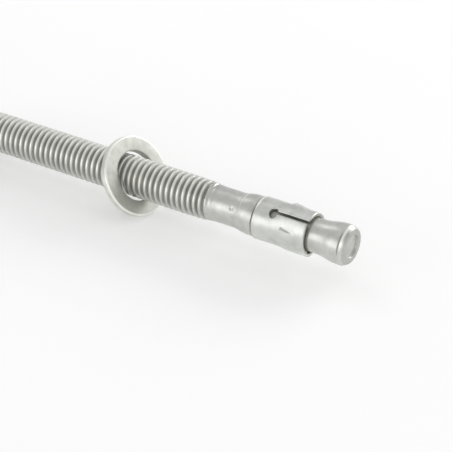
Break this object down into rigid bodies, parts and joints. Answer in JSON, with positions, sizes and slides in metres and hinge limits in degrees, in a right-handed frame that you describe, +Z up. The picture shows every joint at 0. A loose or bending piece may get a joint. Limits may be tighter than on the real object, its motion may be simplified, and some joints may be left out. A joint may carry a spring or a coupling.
{
  "type": "wedge anchor",
  "caption": "Torque-set wedge anchor for an 8 mm hole in concrete: threaded stud with a cone tip, slotted expansion clip, washer and hex nut.",
  "frame": {"origin": "centre of the end face that the hammer strikes, at the threaded end of the stud", "axes": "+X along the stud's axis, from the threaded end toward the cone tip that enters the hole first; +Z up, as the anchor lies; +Y to the left of +X"},
  "size_m": [0.1, 0.016, 0.0144],
  "materials": {
    "stud_steel": "satin, cold-formed stainless steel",
    "clip_steel": "satin, pressed stainless sheet",
    "washer_steel": "satin, stamped stainless steel",
    "nut_steel": "satin, cold-formed stainless steel"
  },
  "bodies": {
    "stud": {"cone_bolt": "stud_steel"},
    "clip": {"expansion_clip": "clip_steel"},
    "washer": {"washer": "washer_steel"},
    "nut": {"hex_nut": "nut_steel"}
  },
  "joints": [
    {"name": "nut_travel", "type": "slide", "parent": "stud", "child": "nut", "axis": [1, 0, 0], "range_m": [-0.0116, 0.0175]},
    {"name": "washer_slide", "type": "slide", "parent": "stud", "child": "washer", "axis": [1, 0, 0], "range_m": [-0.0171, 0.0233]},
    {"name": "clip_slide", "type": "slide", "parent": "stud", "child": "clip", "axis": [1, 0, 0], "range_m": [0, 0.0021]}
  ]
}
